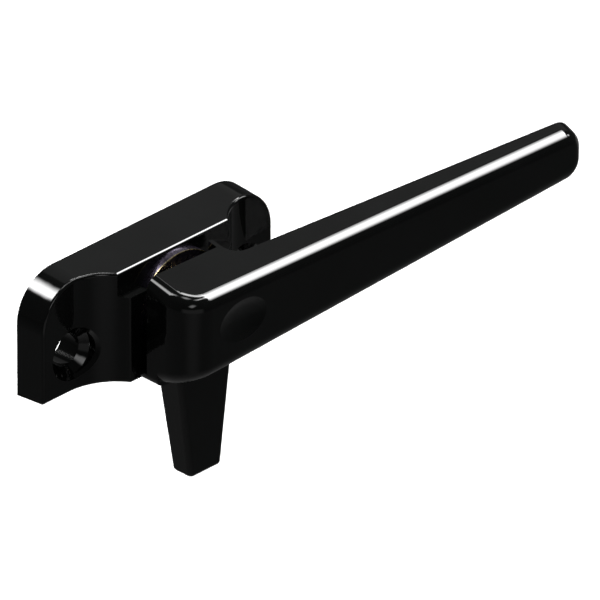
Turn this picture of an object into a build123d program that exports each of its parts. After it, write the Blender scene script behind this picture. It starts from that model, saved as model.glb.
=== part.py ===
from build123d import *
import math
import os

os.makedirs("parts", exist_ok=True)

# Frame: millimetres, +Z up, the front of the handle faces -Y.
# The origin is midway between the fixing holes, on the mounting face, which is the plane Y = 0.
# The solids are drawn about the pivot axis and are raised to their place at the end.
pivot_z = 4.3

# Fixing holes in the base
fixing_spacing = 44.2
fixing_end_margin = 8.1
fixing_z = -pivot_z
fixing_r = 3.4
countersink_r = 4.8
countersink_sink = 0.7
fixing_rim_edge = 0.6

# Base plate
base_length = fixing_spacing + 2 * fixing_end_margin
base_height = 24.35
base_top = 11.8
base_bottom = base_top - base_height
base_corner_r = 9.2
base_draft_deg = 3.1
pad_depth = 6.7
hub_depth = 12.7
sweep_r = 10.9
sweep_start = 22.9
base_edge_r = 0.6
notch_floor_z = 6.4
notch_step = 2.05
notch_depth = hub_depth - notch_step

# Pivot
pin_r = 4.0
pin_back = 0.7
pin_head_r = 5.6
pin_head_depth = 1.1
pin_head_edge = 0.5
pin_running_gap = 0.05
back_recess_r = 7.6
back_recess_depth = 3.2
back_washer_r = 7.2

# Washers between the base and the lever
washer_seat_r = 10.7
friction_washer_r = 10.6
friction_washer_bore_r = 4.4
friction_washer_sink = 0.3
friction_washer_front = hub_depth - friction_washer_sink
spring_r = 6.6
spring_thickness = 0.7
spring_gap = 0.05
spring_rim_back = friction_washer_front + spring_gap

# Lever hub
hub_left = -11.4
hub_right = 8.4
hub_gap = 0.3
hub_back = hub_depth + hub_gap
hub_length = 4.8
hub_bottom = -11.7
hub_end_r = 2.0
pocket_depth = 2.15
pocket_floor = hub_back + pocket_depth
pocket_right = 6.9
pocket_bottom = -9.6

# Lever body and arm
body_back = hub_back + hub_length
body_depth = 8.4
pin_reach = 2.7
pin_front = body_back + pin_reach
body_front = body_back + body_depth
body_top_z = 9.87
body_top_taper = 0.0335
body_top_draft = 0.20
body_bottom_z = -10.75
body_bottom_taper = 0.0405
body_bottom_draft = 0.34
body_left_r = 6.3
tip_x = 93.7
tip_front_x = 92.8
tip_corner_r = 4.3
arm_step = 0.2
arm_depth_at_tip = 4.7
arm_back_at_hub = body_back + arm_step
arm_back_at_tip = body_front - arm_depth_at_tip
arm_corner_r = 3.0
front_edge_r = 2.75
back_edge = 0.5
trim_reach = 20.0

# Thumb dimple in the lever's front
dimple_x = 2.9
dimple_z = 0.8
dimple_half_length = 6.05
dimple_half_height = 4.3
dimple_depth = 0.8

# Spur
spur_length = 22.75
spur_root = 3.0
spur_tip_z = body_bottom_z - spur_length
spur_tip_half_width = 4.05
spur_side_slope = 0.128
spur_front_step = 1.55
spur_front = body_back + spur_front_step
spur_tip_step = 1.15
spur_tip_back = hub_back + spur_tip_step
spur_back_slope = 0.056
spur_corner_r = 1.1
spur_tip_r = 0.9


def cylinder_between(radius, depth_a, depth_b, x=0.0, z=0.0):
    """A cylinder along Y between two depths."""
    plane = Plane(origin=(x, -depth_a, z), x_dir=(1, 0, 0), z_dir=(0, -1, 0))
    return extrude(plane * Circle(radius), amount=depth_b - depth_a)


def cone_between(radius_a, radius_b, depth_a, depth_b, x, z):
    """A cone along Y with a radius at each of two depths."""
    place = Plane(origin=(x, -(depth_a + depth_b) / 2, z), x_dir=(1, 0, 0), z_dir=(0, -1, 0))
    return place * Cone(radius_a, radius_b, depth_b - depth_a)


def block(x0, x1, depth_a, depth_b, z0, z1):
    """A box given by its limits."""
    size = (x1 - x0, depth_b - depth_a, z1 - z0)
    middle = ((x0 + x1) / 2, -(depth_a + depth_b) / 2, (z0 + z1) / 2)
    return Pos(*middle) * Box(*size)


def plan_prism(wire, z0, z1):
    """A prism on a closed line drawn in the X-Y plane."""
    return extrude(Plane.XY.offset(z0) * make_face(wire), amount=z1 - z0)


def on_base_rim(edge):
    """True for the edges round the base's front, apart from the step along the top of its hub."""
    middle = edge.position_at(0.5)
    if middle.Y > -pad_depth + 0.5:
        return False
    on_step_floor = abs(middle.Z - notch_floor_z) < 0.01
    upright = abs(edge.tangent_at(0.5).Z) > 0.9
    on_step_end = upright and middle.Z > notch_floor_z and abs(middle.X) < sweep_start
    return not (on_step_floor or on_step_end)


def on_hole_rim(edge, x, floor_depth):
    """True for the edges where a hole's wall meets the front of the base."""
    middle = edge.position_at(0.5)
    from_axis = math.hypot(middle.X - x, middle.Z - fixing_z)
    return abs(from_axis - countersink_r) < 0.01 and middle.Y < -floor_depth - 0.1


def cut_fixing_hole(solid, x):
    """Cuts one countersunk hole, with a bevelled rim where it meets the pad and the sweep."""
    cone_top = pad_depth - countersink_sink
    cone_bottom = cone_top - (countersink_r - fixing_r)
    solid -= cylinder_between(countersink_r, cone_top, hub_depth + 1, x, fixing_z)
    rim = solid.edges().filter_by(lambda e: on_hole_rim(e, x, cone_top))
    solid = chamfer(rim, fixing_rim_edge)
    solid -= cylinder_between(fixing_r, -1, hub_depth, x, fixing_z)
    return solid - cone_between(fixing_r, countersink_r, cone_bottom, cone_top, x, fixing_z)


def make_base():
    half = base_length / 2
    plane = Plane(origin=(0, 0, 0), x_dir=(1, 0, 0), z_dir=(0, -1, 0))
    outline = make_face(Polyline(
        (-half, base_bottom), (half, base_bottom), (half, base_top), (-half, base_top), close=True))
    top_corners = outline.vertices().group_by(Axis.Y)[-1]
    outline = fillet(top_corners, base_corner_r)
    solid = extrude(plane * outline, amount=hub_depth)
    sides = solid.faces().filter_by(lambda f: abs(f.normal_at().Y) < 0.5)
    solid = draft(sides, plane, base_draft_deg)

    rise = hub_depth - pad_depth
    angle = math.acos(1 - rise / sweep_r)
    run = sweep_r * math.sin(angle)
    middle_run = sweep_r * math.sin(angle / 2)
    middle_rise = sweep_r * (1 - math.cos(angle / 2))
    wide = half + 1
    profile = [
        Line((-wide, 1), (-wide, -pad_depth)),
        Line((-wide, -pad_depth), (-sweep_start, -pad_depth)),
        ThreePointArc(
            (-sweep_start, -pad_depth),
            (-sweep_start + middle_run, -pad_depth - middle_rise),
            (-sweep_start + run, -hub_depth)),
        Line((-sweep_start + run, -hub_depth), (sweep_start - run, -hub_depth)),
        ThreePointArc(
            (sweep_start - run, -hub_depth),
            (sweep_start - middle_run, -pad_depth - middle_rise),
            (sweep_start, -pad_depth)),
        Line((sweep_start, -pad_depth), (wide, -pad_depth)),
        Line((wide, -pad_depth), (wide, 1)),
        Line((wide, 1), (-wide, 1)),
    ]
    solid = solid & plan_prism(Wire(profile), base_bottom - 1, base_top + 1)

    solid -= block(-half, half, notch_depth, hub_depth + 1, notch_floor_z, base_top + 1)
    solid = fillet(solid.edges().filter_by(on_base_rim), base_edge_r)

    solid -= cylinder_between(washer_seat_r, notch_depth, hub_depth + 1)
    solid -= cylinder_between(pin_r + pin_running_gap, -1, hub_depth + 1)
    solid -= cylinder_between(back_recess_r, -1, back_recess_depth)
    for side in (-1, 1):
        solid = cut_fixing_hole(solid, side * fixing_spacing / 2)
    return solid


def arm_back(x):
    """Depth of the arm's back at a distance along the lever."""
    slope = (arm_back_at_tip - arm_back_at_hub) / (tip_x - hub_right)
    return arm_back_at_hub + slope * (x - hub_right)


def cut_to_top_and_bottom(solid):
    """Trims a prism to the lever's tapering top and bottom planes."""
    top = Plane(
        origin=(0, -body_back, body_top_z), x_dir=(1, 0, -body_top_taper),
        z_dir=(body_top_taper, -body_top_draft, 1))
    bottom = Plane(
        origin=(0, -body_back, body_bottom_z), x_dir=(1, 0, body_bottom_taper),
        z_dir=(body_bottom_taper, -body_bottom_draft, -1))
    solid = split(solid, bisect_by=top, keep=Keep.BOTTOM)
    return split(solid, bisect_by=bottom, keep=Keep.BOTTOM)


def on_tip_corner(edge):
    """True for the two edges at the top and bottom of the lever's tip."""
    middle = edge.position_at(0.5)
    return middle.X > tip_front_x - 1 and abs(edge.tangent_at(0.5).Y) > 0.9


def on_front_rim(edge):
    """True for the edges round the lever's front face and the top and bottom of its left end."""
    middle = edge.position_at(0.5)
    if middle.Y < -body_front + 0.01:
        return middle.X > 0 or abs(middle.Z) > 3
    return middle.X < hub_left + body_left_r and abs(middle.Z) > 5 and middle.Y < -hub_back - 0.01


def on_back_rim(edge):
    """True for the edges round the back of the arm, away from the hub."""
    middle = edge.position_at(0.5)
    return middle.X > hub_right + arm_corner_r and abs(middle.Y + arm_back(middle.X)) < 0.05


def make_lever_body():
    """The hub and the arm, drafted above and below, from the hub's left end to the tip."""
    plan = make_face(Polyline(
        (hub_left, -hub_back), (hub_right, -hub_back), (hub_right, -arm_back_at_hub),
        (tip_x, -arm_back_at_tip), (tip_front_x, -body_front), (hub_left, -body_front), close=True))
    arm_corner = plan.vertices().sort_by_distance((hub_right, -arm_back_at_hub))[0]
    plan = fillet([arm_corner], arm_corner_r)
    front_left = plan.vertices().sort_by_distance((hub_left, -body_front))[0]
    plan = fillet([front_left], body_left_r)
    solid = extrude(Plane.XY.offset(-trim_reach) * plan, amount=2 * trim_reach)
    solid = cut_to_top_and_bottom(solid)
    solid = fillet(solid.edges().filter_by(on_tip_corner), tip_corner_r)
    solid = fillet(solid.edges().filter_by(on_front_rim), front_edge_r)
    solid = chamfer(solid.edges().filter_by(on_back_rim), back_edge)
    solid -= block(hub_left - 1, hub_right, hub_back - 1, body_back, -trim_reach, 0)
    return solid + make_hub_foot()


def make_hub_foot():
    """The lower back half of the hub, which has a level underside."""
    foot = block(hub_left, hub_right, hub_back, body_back, hub_bottom, 0)
    left_edges = foot.edges().filter_by(Axis.Y).group_by(Axis.X)[0]
    return fillet(left_edges.sort_by(Axis.Z)[0], hub_end_r)


def make_spur():
    """The tapered nose that points down from the hub."""
    height = spur_length + spur_root
    top_half_width = spur_tip_half_width + spur_side_slope * height
    front_view = make_face(Polyline(
        (-spur_tip_half_width, spur_tip_z), (spur_tip_half_width, spur_tip_z),
        (top_half_width, spur_tip_z + height), (-top_half_width, spur_tip_z + height), close=True))
    plane = Plane(origin=(0, -hub_back, 0), x_dir=(1, 0, 0), z_dir=(0, -1, 0))
    wide = extrude(plane * front_view, amount=spur_front - hub_back)
    top_back = spur_tip_back - spur_back_slope * height
    side = Plane(origin=(-trim_reach, 0, 0), x_dir=(0, 1, 0), z_dir=(1, 0, 0))
    side_view = make_face(Polyline(
        (-spur_front, spur_tip_z), (-spur_tip_back, spur_tip_z),
        (-top_back, spur_tip_z + height), (-spur_front, spur_tip_z + height), close=True))
    solid = wide & extrude(side * side_view, amount=2 * trim_reach)
    upright = [e for e in solid.edges() if abs(e.tangent_at(0.5).Z) > 0.9]
    solid = fillet(upright, spur_corner_r)
    return fillet(solid.faces().sort_by(Axis.Z)[0].edges(), spur_tip_r)


def make_dimple():
    """The shallow oval hollow in the front, as a flattened ball."""
    ball_r = (dimple_half_length ** 2 + dimple_depth ** 2) / (2 * dimple_depth)
    ball = scale(Sphere(ball_r), by=(1, 1, dimple_half_height / dimple_half_length))
    return Pos(dimple_x, -(body_front - dimple_depth + ball_r), dimple_z) * ball


def make_lever():
    solid = make_lever_body() + make_spur()
    pocket = block(
        hub_left - 1, pocket_right, hub_back - 1, pocket_floor, pocket_bottom, trim_reach)
    solid -= pocket
    solid -= cylinder_between(pin_r, hub_back - 1, pin_front)
    solid -= make_dimple()
    return solid


def make_pin():
    """The pivot pin, with the head that is formed over at the back of the base."""
    head = cylinder_between(pin_head_r, pin_back, pin_back + pin_head_depth)
    head = chamfer(head.edges().group_by(Axis.Y)[-1], pin_head_edge)
    return head + cylinder_between(pin_r, pin_back, pin_front)


def make_ring(radius, bore, depth_a, depth_b):
    return cylinder_between(radius, depth_a, depth_b) - cylinder_between(bore, depth_a - 1, depth_b + 1)


def make_spring():
    """A coned spring washer that stands on the floor of the lever's pocket."""
    section = make_face(Polyline(
        (pin_r, -pocket_floor), (pin_r, -pocket_floor + spring_thickness),
        (spring_r, -spring_rim_back), (spring_r, -spring_rim_back - spring_thickness), close=True))
    return revolve(section, axis=Axis.Y)


parts = {
    "base": make_base(),
    "lever": make_lever(),
    "pivot_pin": make_pin(),
    "back_washer": make_ring(
        back_washer_r, pin_r + pin_running_gap, pin_back + pin_head_depth, back_recess_depth),
    "friction_washer": make_ring(
        friction_washer_r, friction_washer_bore_r, notch_depth, friction_washer_front),
    "spring_washer": make_spring(),
}

for name, solid in parts.items():
    export_step(Pos(0, 0, pivot_z) * solid, f"parts/{name}.step")
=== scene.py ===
import math

import bpy
from mathutils import Matrix, Vector


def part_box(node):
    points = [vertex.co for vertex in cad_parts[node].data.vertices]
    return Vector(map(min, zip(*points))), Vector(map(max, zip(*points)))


# Camera: a long lens from the front left and above, as in the photograph. Lengths are in metres.
VIEW_AZIMUTH = -45.0
VIEW_ELEVATION = 30.0
VIEW_TARGET = (0.0289, -0.0150, -0.0059)
VIEW_WIDTH = 0.1118
LENS_MM = 1500.0
SENSOR_MM = 36.0
CLIP_DISTANCES = 4.0

# Floor, far enough below the handle that no shadow falls into the picture
FLOOR_Z = -3.0
FLOOR_SIZE = 60.0
FLOOR_COLOUR = (0.86, 0.86, 0.86, 1.0)
FLOOR_ROUGHNESS = 0.9
FLOOR_SPECULAR = 0.1

# Softboxes, each with the direction from the handle, the run of its long side, its length and width
# for each metre of distance, its radiance, the shares of the length over which it fades at the start
# and end of the run, and the share of the width over which it fades at either side
SOFTBOX_DISTANCE = 1.6
SOFTBOXES = {
    # Two strips that meet, for the long highlight on the lever's front rim
    "key_upper": dict(
        direction=(0.650, 0.049, 0.781), run=(0.0, 0.534, -0.083), length=0.67, width=0.24,
        radiance=16.5, start_fade=0.13, end_fade=0.55, side_fade=0.25),
    "key_lower": dict(
        direction=(0.652, -0.369, 0.689), run=(0.0, -0.479, -0.302), length=0.71, width=0.24,
        radiance=16.5, start_fade=0.12, end_fade=0.55, side_fade=0.25),
    # The white band on the base's left corner
    "back": dict(
        direction=(-0.345, 0.543, 0.765), run=(0.465, 0.006, 0.207), length=0.60, width=0.16,
        radiance=20.0, start_fade=0.30, end_fade=0.50, side_fade=0.2),
    # The highlights round the lever's left corner
    "top": dict(
        direction=(0.46, 0.19, 0.865), run=(0.27, -0.28, -0.09), length=0.46, width=0.20,
        radiance=10.5, start_fade=0.40, end_fade=0.25, side_fade=0.4),
    "overhead": dict(
        direction=(0.02, -0.10, 0.99), run=(1.0, 0.0, 0.0), length=0.40, width=0.36,
        radiance=3.8, start_fade=0.45, end_fade=0.45, side_fade=0.45),
    "corner": dict(
        direction=(-0.28, 0.27, 0.92), run=(0.48, -0.31, 0.23), length=0.62, width=0.22,
        radiance=6.8, start_fade=0.20, end_fade=0.60, side_fade=0.35),
    "corner_front": dict(
        direction=(0.32, -0.33, 0.88), run=(-0.54, -0.10, 0.13), length=0.56, width=0.22,
        radiance=8.0, start_fade=0.20, end_fade=0.60, side_fade=0.40),
    # The end of the highlight at the lever's tip
    "side": dict(
        direction=(0.80, -0.34, 0.49), run=(0.0, 0.5, 0.3), length=0.26, width=0.22,
        radiance=10.0, start_fade=0.35, end_fade=0.35, side_fade=0.35),
    # The countersink of the left fixing hole
    "front_left": dict(
        direction=(-0.39, -0.79, 0.47), run=(0.6, 0.0, 0.45), length=0.62, width=0.36,
        radiance=2.0, start_fade=0.35, end_fade=0.45, side_fade=0.40),
    # Dim panels that the flat faces reflect: the tops, and then the front, right end and back
    "fill": dict(
        direction=(0.612, 0.470, 0.630), run=(0.7, -0.7, 0.0), length=0.95, width=0.80,
        radiance=0.135, start_fade=0.10, end_fade=0.10, side_fade=0.10),
    "front_panel": dict(
        direction=(-0.50, -0.83, -0.25), run=(0.83, -0.50, 0.0), length=1.60, width=0.70,
        radiance=0.15, start_fade=0.20, end_fade=0.20, side_fade=0.30),
    "right_panel": dict(
        direction=(0.95, 0.15, -0.28), run=(0.0, 1.0, 0.0), length=0.90, width=0.50,
        radiance=0.22, start_fade=0.20, end_fade=0.20, side_fade=0.30),
    "back_panel": dict(
        direction=(0.0, 0.96, -0.28), run=(1.0, 0.0, 0.0), length=1.50, width=0.70,
        radiance=0.38, start_fade=0.20, end_fade=0.20, side_fade=0.30),
}

# Lamp over the part of the floor that is seen behind the handle
BACKGROUND_HEIGHT = 1.4
BACKGROUND_CONE_DEG = 46.0
BACKGROUND_BLEND = 0.5
BACKGROUND_LAMP_R = 0.1
BACKGROUND_POWER = 150.0

# Dim light all round, and white below the horizon, where the floor ends. The two heights, at which the
# white ends and the dim light starts, run from 0 straight down to 1 straight up.
SKY_LIGHT = (0.034, 0.035, 0.035, 1.0)
WHITE = (1.0, 1.0, 1.0, 1.0)
WHITE_END = 0.42
SKY_START = 0.43

# Edges sharper than this stay hard in the shading, and large faces set the normals beside them
SHARP_ANGLE_DEG = 28.0
AREA_WEIGHT = 100

# Gloss black coat. Here and below, a span gives the noise values between which a colour changes.
COAT_COLOUR = (0.0020, 0.0022, 0.0021, 1.0)
COAT_COLOUR_LIGHT = (0.0036, 0.0039, 0.0037, 1.0)
COAT_CLOUD_SCALE = 70.0
COAT_CLOUD_SPAN = (0.35, 0.70)
COAT_IOR = 1.6
COAT_ROUGHNESS = (0.05, 0.075)
COAT_HAZE_SCALE = 240.0
COAT_PEEL_SCALE = 900.0
COAT_PEEL_HEIGHT = 0.000002

# Passivated steel of the washers, each from a dark to a light tone
VIOLET_TONES = ((0.09, 0.077, 0.125, 1.0), (0.19, 0.165, 0.225, 1.0))
GOLD_TONES = ((0.48, 0.36, 0.15, 1.0), (0.86, 0.66, 0.25, 1.0))
# Painted highlight: a light gold band along each washer's front rim edge that stands in for a lamp's
# glint, and the band's width
RIM_HIGHLIGHT_COLOUR = (0.85, 0.72, 0.40, 1.0)
RIM_HIGHLIGHT_WIDTH = 0.00030
PASSIVATED_SCALE = 120.0
PASSIVATED_SPAN = (0.34, 0.60)
PASSIVATED_ROUGHNESS = (0.22, 0.38)
PASSIVATED_SPECKLE_SCALE = 1500.0
GROOVE_PITCH = 0.00035
GROOVE_HEIGHT = 0.000015

# Turned steel of the pivot pin and the back washer
STEEL_COLOUR_DARK = (0.40, 0.40, 0.41, 1.0)
STEEL_COLOUR = (0.56, 0.56, 0.55, 1.0)
STEEL_MOTTLE_SCALE = 320.0
STEEL_MOTTLE_SPAN = (0.35, 0.65)
STEEL_ROUGHNESS = (0.24, 0.40)
STEEL_SCUFF_SCALE = 1100.0
STEEL_RING_HEIGHT = 0.0000075


def new_material(name):
    """A material with an empty node tree but for its shader. Returns the material, tree and shader."""
    material = bpy.data.materials.new(name)
    material.use_nodes = True
    tree = material.node_tree
    tree.nodes.clear()
    output = tree.nodes.new("ShaderNodeOutputMaterial")
    shader = tree.nodes.new("ShaderNodeBsdfPrincipled")
    tree.links.new(shader.outputs["BSDF"], output.inputs["Surface"])
    return material, tree, shader


def add_noise(tree, coordinate, scale, detail=4.0, roughness=0.55):
    """Smooth noise from about 0.3 to 0.7."""
    noise = tree.nodes.new("ShaderNodeTexNoise")
    noise.inputs["Scale"].default_value = scale
    noise.inputs["Detail"].default_value = detail
    noise.inputs["Roughness"].default_value = roughness
    tree.links.new(coordinate, noise.inputs["Vector"])
    return noise.outputs["Fac"]


def add_range(tree, value, low, high, start=0.3, end=0.7, interpolation="LINEAR"):
    """Maps a value between start and end to low and high."""
    node = tree.nodes.new("ShaderNodeMapRange")
    node.interpolation_type = interpolation
    node.inputs["From Min"].default_value = start
    node.inputs["From Max"].default_value = end
    node.inputs["To Min"].default_value = low
    node.inputs["To Max"].default_value = high
    tree.links.new(value, node.inputs["Value"])
    return node.outputs["Result"]


def add_ramp(tree, value, stops):
    """A colour ramp from two (position, colour) stops."""
    ramp = tree.nodes.new("ShaderNodeValToRGB")
    elements = ramp.color_ramp.elements
    for element, (position, colour) in zip(elements, stops):
        element.position = position
        element.color = colour
    tree.links.new(value, ramp.inputs["Fac"])
    return ramp.outputs["Color"]


def add_bump(tree, height, distance, shader):
    """Raises a shader's surface by a height from 0 to 1 times a distance."""
    bump = tree.nodes.new("ShaderNodeBump")
    bump.inputs["Strength"].default_value = 1.0
    bump.inputs["Distance"].default_value = distance
    tree.links.new(height, bump.inputs["Height"])
    tree.links.new(bump.outputs["Normal"], shader.inputs["Normal"])


def add_product(tree, first, second):
    product = tree.nodes.new("ShaderNodeMath")
    product.operation = "MULTIPLY"
    tree.links.new(first, product.inputs[0])
    tree.links.new(second, product.inputs[1])
    return product.outputs["Value"]


def add_axis_distance(tree, coordinate, axis_z):
    """Distance from the pivot axis, which runs along Y at a height of axis_z."""
    separate = tree.nodes.new("ShaderNodeSeparateXYZ")
    tree.links.new(coordinate, separate.inputs["Vector"])
    drop = tree.nodes.new("ShaderNodeMath")
    drop.operation = "SUBTRACT"
    drop.inputs[1].default_value = axis_z
    tree.links.new(separate.outputs["Z"], drop.inputs[0])
    flat = tree.nodes.new("ShaderNodeCombineXYZ")
    tree.links.new(separate.outputs["X"], flat.inputs["X"])
    tree.links.new(drop.outputs["Value"], flat.inputs["Z"])
    length = tree.nodes.new("ShaderNodeVectorMath")
    length.operation = "LENGTH"
    tree.links.new(flat.outputs["Vector"], length.inputs[0])
    return length.outputs["Value"]


def add_sine(tree, value, pitch):
    """A sine from 0 to 1 that repeats at every pitch."""
    turn = tree.nodes.new("ShaderNodeMath")
    turn.operation = "MULTIPLY"
    turn.inputs[1].default_value = 2 * math.pi / pitch
    tree.links.new(value, turn.inputs[0])
    sine = tree.nodes.new("ShaderNodeMath")
    sine.operation = "SINE"
    tree.links.new(turn.outputs["Value"], sine.inputs[0])
    return add_range(tree, sine.outputs["Value"], 0.0, 1.0, -1.0, 1.0)


def object_coordinate(tree):
    return tree.nodes.new("ShaderNodeTexCoord").outputs["Object"]


def make_coat():
    """Gloss black coat on die-cast zinc, with faint orange peel and cloudy gloss."""
    material, tree, shader = new_material("black_coat")
    place = object_coordinate(tree)
    cloud = add_noise(tree, place, COAT_CLOUD_SCALE)
    colour = add_ramp(tree, cloud, zip(COAT_CLOUD_SPAN, (COAT_COLOUR, COAT_COLOUR_LIGHT)))
    tree.links.new(colour, shader.inputs["Base Color"])
    shader.inputs["IOR"].default_value = COAT_IOR
    haze = add_noise(tree, place, COAT_HAZE_SCALE, detail=5.0, roughness=0.6)
    tree.links.new(add_range(tree, haze, *COAT_ROUGHNESS), shader.inputs["Roughness"])
    peel = add_noise(tree, place, COAT_PEEL_SCALE, detail=2.0, roughness=0.4)
    add_bump(tree, peel, COAT_PEEL_HEIGHT, shader)
    return material


def add_painted_rim_highlight(tree, coordinate, colour, axis_z, edge_y, radius):
    """Changes a colour to a painted highlight, light gold, along a washer's front edge, at a depth and
    a radius.
    """
    separate = tree.nodes.new("ShaderNodeSeparateXYZ")
    tree.links.new(coordinate, separate.inputs["Vector"])
    near_front = add_range(
        tree, separate.outputs["Y"], 1.0, 0.0, edge_y, edge_y + RIM_HIGHLIGHT_WIDTH, "SMOOTHSTEP")
    from_axis = add_axis_distance(tree, coordinate, axis_z)
    near_rim = add_range(tree, from_axis, 0.0, 1.0, radius - RIM_HIGHLIGHT_WIDTH, radius, "SMOOTHSTEP")
    # Where the painted highlight lies
    painted_highlight = add_product(tree, near_front, near_rim)
    mix = tree.nodes.new("ShaderNodeMix")
    mix.data_type = "RGBA"
    mix.inputs["B"].default_value = RIM_HIGHLIGHT_COLOUR
    tree.links.new(painted_highlight, mix.inputs["Factor"])
    tree.links.new(colour, mix.inputs["A"])
    return mix.outputs["Result"]


def make_passivated(node, tones, axis_z):
    """Passivated steel in cloudy tones, with a painted highlight along its front edge, and grooves
    round the pivot.
    """
    material, tree, shader = new_material(f"passivated_{node}")
    low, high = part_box(node)
    shader.inputs["Metallic"].default_value = 1.0
    place = object_coordinate(tree)
    patches = add_noise(tree, place, PASSIVATED_SCALE, detail=3.0)
    colour = add_ramp(tree, patches, zip(PASSIVATED_SPAN, tones))
    # Painted highlight, light gold, along the front rim edge
    colour = add_painted_rim_highlight(tree, place, colour, axis_z, low[1], (high[0] - low[0]) / 2)
    tree.links.new(colour, shader.inputs["Base Color"])
    speckle = add_noise(tree, place, PASSIVATED_SPECKLE_SCALE)
    tree.links.new(add_range(tree, speckle, *PASSIVATED_ROUGHNESS), shader.inputs["Roughness"])
    grooves = add_sine(tree, add_axis_distance(tree, place, axis_z), GROOVE_PITCH)
    add_bump(tree, grooves, GROOVE_HEIGHT, shader)
    return material


def make_steel(axis_z):
    """Turned steel with fine rings round the pivot and a mottled tone."""
    material, tree, shader = new_material("turned_steel")
    shader.inputs["Metallic"].default_value = 1.0
    place = object_coordinate(tree)
    mottle = add_noise(tree, place, STEEL_MOTTLE_SCALE)
    colour = add_ramp(tree, mottle, zip(STEEL_MOTTLE_SPAN, (STEEL_COLOUR_DARK, STEEL_COLOUR)))
    tree.links.new(colour, shader.inputs["Base Color"])
    scuffs = add_noise(tree, place, STEEL_SCUFF_SCALE, detail=6.0)
    tree.links.new(add_range(tree, scuffs, *STEEL_ROUGHNESS), shader.inputs["Roughness"])
    rings = add_sine(tree, add_axis_distance(tree, place, axis_z), GROOVE_PITCH)
    add_bump(tree, rings, STEEL_RING_HEIGHT, shader)
    return material


def make_floor():
    """The pale floor, which isn't part of the handle."""
    half = FLOOR_SIZE / 2
    mesh = bpy.data.meshes.new("floor")
    corners = [
        (-half, -half, FLOOR_Z), (half, -half, FLOOR_Z),
        (half, half, FLOOR_Z), (-half, half, FLOOR_Z)]
    mesh.from_pydata(corners, [], [(0, 1, 2, 3)])
    floor = bpy.data.objects.new("floor", mesh)
    bpy.context.scene.collection.objects.link(floor)
    material, tree, shader = new_material("pale_floor")
    shader.inputs["Base Color"].default_value = FLOOR_COLOUR
    shader.inputs["Roughness"].default_value = FLOOR_ROUGHNESS
    shader.inputs["Specular IOR Level"].default_value = FLOOR_SPECULAR
    mesh.materials.append(material)


def add_edge_fade(tree, place, start_fade, end_fade):
    """Rises from 0 at the start of a lamp's side to 1, and falls to 0 at its end."""
    rise = add_range(tree, place, 0.0, 1.0, 0.0, start_fade, "SMOOTHSTEP")
    fall = add_range(tree, place, 0.0, 1.0, 1.0, 1.0 - end_fade, "SMOOTHSTEP")
    return add_product(tree, rise, fall)


def soften_edges(lamp, start_fade, end_fade, side_fade):
    """Fades a lamp towards its edges, as the cloth of a softbox does."""
    lamp.use_nodes = True
    tree = lamp.node_tree
    tree.nodes.clear()
    output = tree.nodes.new("ShaderNodeOutputLight")
    emission = tree.nodes.new("ShaderNodeEmission")
    tree.links.new(emission.outputs["Emission"], output.inputs["Surface"])
    geometry = tree.nodes.new("ShaderNodeNewGeometry")
    separate = tree.nodes.new("ShaderNodeSeparateXYZ")
    tree.links.new(geometry.outputs["Parametric"], separate.inputs["Vector"])
    along = add_edge_fade(tree, separate.outputs["X"], start_fade, end_fade)
    across = add_edge_fade(tree, separate.outputs["Y"], side_fade, side_fade)
    tree.links.new(add_product(tree, along, across), emission.inputs["Strength"])


def make_softbox(name, direction, run, length, width, radiance, start_fade, end_fade, side_fade):
    """A rectangular lamp that faces the handle, with its long side along the given run."""
    lamp = bpy.data.lights.new(name, "AREA")
    lamp.shape = "RECTANGLE"
    lamp.size = length * SOFTBOX_DISTANCE
    lamp.size_y = width * SOFTBOX_DISTANCE
    lamp.energy = radiance * math.pi * lamp.size * lamp.size_y
    soften_edges(lamp, start_fade, end_fade, side_fade)
    away = Vector(direction).normalized()
    along = Vector(run)
    along = (along - away * along.dot(away)).normalized()
    across = away.cross(along)
    turn = Matrix((along, across, away)).transposed().to_4x4()
    box = bpy.data.objects.new(name, lamp)
    box.matrix_world = Matrix.Translation(Vector(VIEW_TARGET) + away * SOFTBOX_DISTANCE) @ turn
    bpy.context.scene.collection.objects.link(box)


def make_background_lamp(view_back):
    """A spot that lights only the part of the floor behind the handle."""
    target = Vector(VIEW_TARGET)
    reach = (target.z - FLOOR_Z) / view_back.z
    spot = target - view_back * reach
    lamp = bpy.data.lights.new("background_lamp", "SPOT")
    lamp.energy = BACKGROUND_POWER
    lamp.spot_size = math.radians(BACKGROUND_CONE_DEG)
    lamp.spot_blend = BACKGROUND_BLEND
    lamp.shadow_soft_size = BACKGROUND_LAMP_R
    lamp_object = bpy.data.objects.new("background_lamp", lamp)
    lamp_object.location = spot + Vector((0, 0, BACKGROUND_HEIGHT))
    bpy.context.scene.collection.objects.link(lamp_object)


def make_world():
    """A dim sky over a white lower half."""
    world = bpy.data.worlds.new("studio")
    world.use_nodes = True
    tree = world.node_tree
    tree.nodes.clear()
    output = tree.nodes.new("ShaderNodeOutputWorld")
    background = tree.nodes.new("ShaderNodeBackground")
    tree.links.new(background.outputs["Background"], output.inputs["Surface"])
    coordinate = tree.nodes.new("ShaderNodeTexCoord")
    separate = tree.nodes.new("ShaderNodeSeparateXYZ")
    tree.links.new(coordinate.outputs["Generated"], separate.inputs["Vector"])
    height = add_range(tree, separate.outputs["Z"], 0.0, 1.0, -1.0, 1.0)
    stops = [(WHITE_END, WHITE), (SKY_START, SKY_LIGHT)]
    tree.links.new(add_ramp(tree, height, stops), background.inputs["Color"])
    bpy.context.scene.world = world


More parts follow.
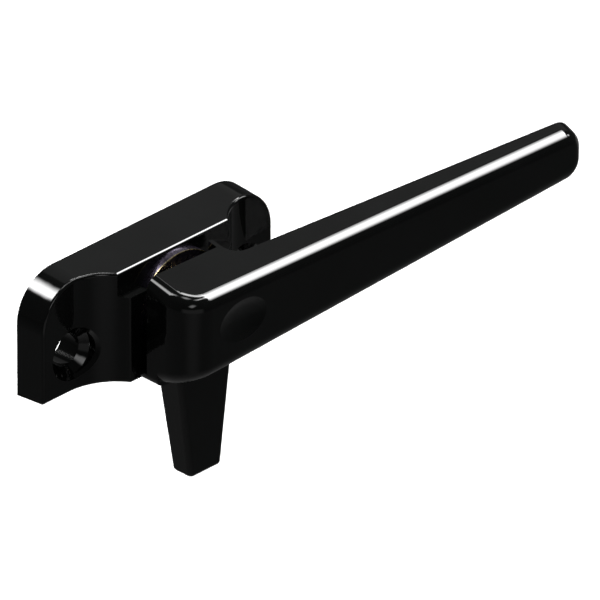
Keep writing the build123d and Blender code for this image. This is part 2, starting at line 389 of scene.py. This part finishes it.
def make_camera():
    """The camera at the photograph's angle. Returns the direction from the handle to the camera."""
    azimuth = math.radians(VIEW_AZIMUTH)
    elevation = math.radians(VIEW_ELEVATION)
    back = Vector((
        math.sin(azimuth) * math.cos(elevation),
        -math.cos(azimuth) * math.cos(elevation),
        math.sin(elevation)))
    data = bpy.data.cameras.new("camera")
    data.lens = LENS_MM
    data.sensor_width = SENSOR_MM
    distance = VIEW_WIDTH * LENS_MM / SENSOR_MM
    data.clip_end = CLIP_DISTANCES * distance
    camera = bpy.data.objects.new("camera", data)
    camera.location = Vector(VIEW_TARGET) + back * distance
    camera.rotation_mode = "QUATERNION"
    camera.rotation_quaternion = (-back).to_track_quat("-Z", "Y")
    bpy.context.scene.collection.objects.link(camera)
    bpy.context.scene.camera = camera
    return back


def set_material(node, material):
    """Puts one material in all of a CAD node's slots."""
    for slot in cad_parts[node].material_slots:
        slot.material = material


def set_shading(part):
    """Shades flat faces flat up to their edges: splits sharp edges and weights normals by area."""
    split = part.modifiers.new("split_edges", "EDGE_SPLIT")
    split.split_angle = math.radians(SHARP_ANGLE_DEG)
    weight = part.modifiers.new("weight_normals", "WEIGHTED_NORMAL")
    weight.mode = "FACE_AREA"
    weight.weight = AREA_WEIGHT


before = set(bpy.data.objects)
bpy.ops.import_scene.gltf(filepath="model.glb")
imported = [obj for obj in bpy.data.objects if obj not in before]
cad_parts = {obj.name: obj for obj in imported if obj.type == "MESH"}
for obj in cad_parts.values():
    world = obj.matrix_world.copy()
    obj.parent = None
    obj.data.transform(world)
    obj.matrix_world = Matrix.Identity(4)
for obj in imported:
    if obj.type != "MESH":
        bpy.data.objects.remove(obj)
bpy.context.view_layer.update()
pin_low, pin_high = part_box("pivot_pin")
pivot_height = (pin_low[2] + pin_high[2]) / 2

coat = make_coat()
steel = make_steel(pivot_height)
for node in ("base", "lever"):
    set_material(node, coat)
for node in ("pivot_pin", "back_washer"):
    set_material(node, steel)
for node, tones in (("friction_washer", VIOLET_TONES), ("spring_washer", GOLD_TONES)):
    set_material(node, make_passivated(node, tones, pivot_height))
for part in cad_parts.values():
    set_shading(part)

bpy.context.scene.view_settings.view_transform = "Standard"
make_floor()
make_world()
camera_direction = make_camera()
for box_name, box_values in SOFTBOXES.items():
    make_softbox(f"{box_name}_softbox", **box_values)
make_background_lamp(camera_direction)
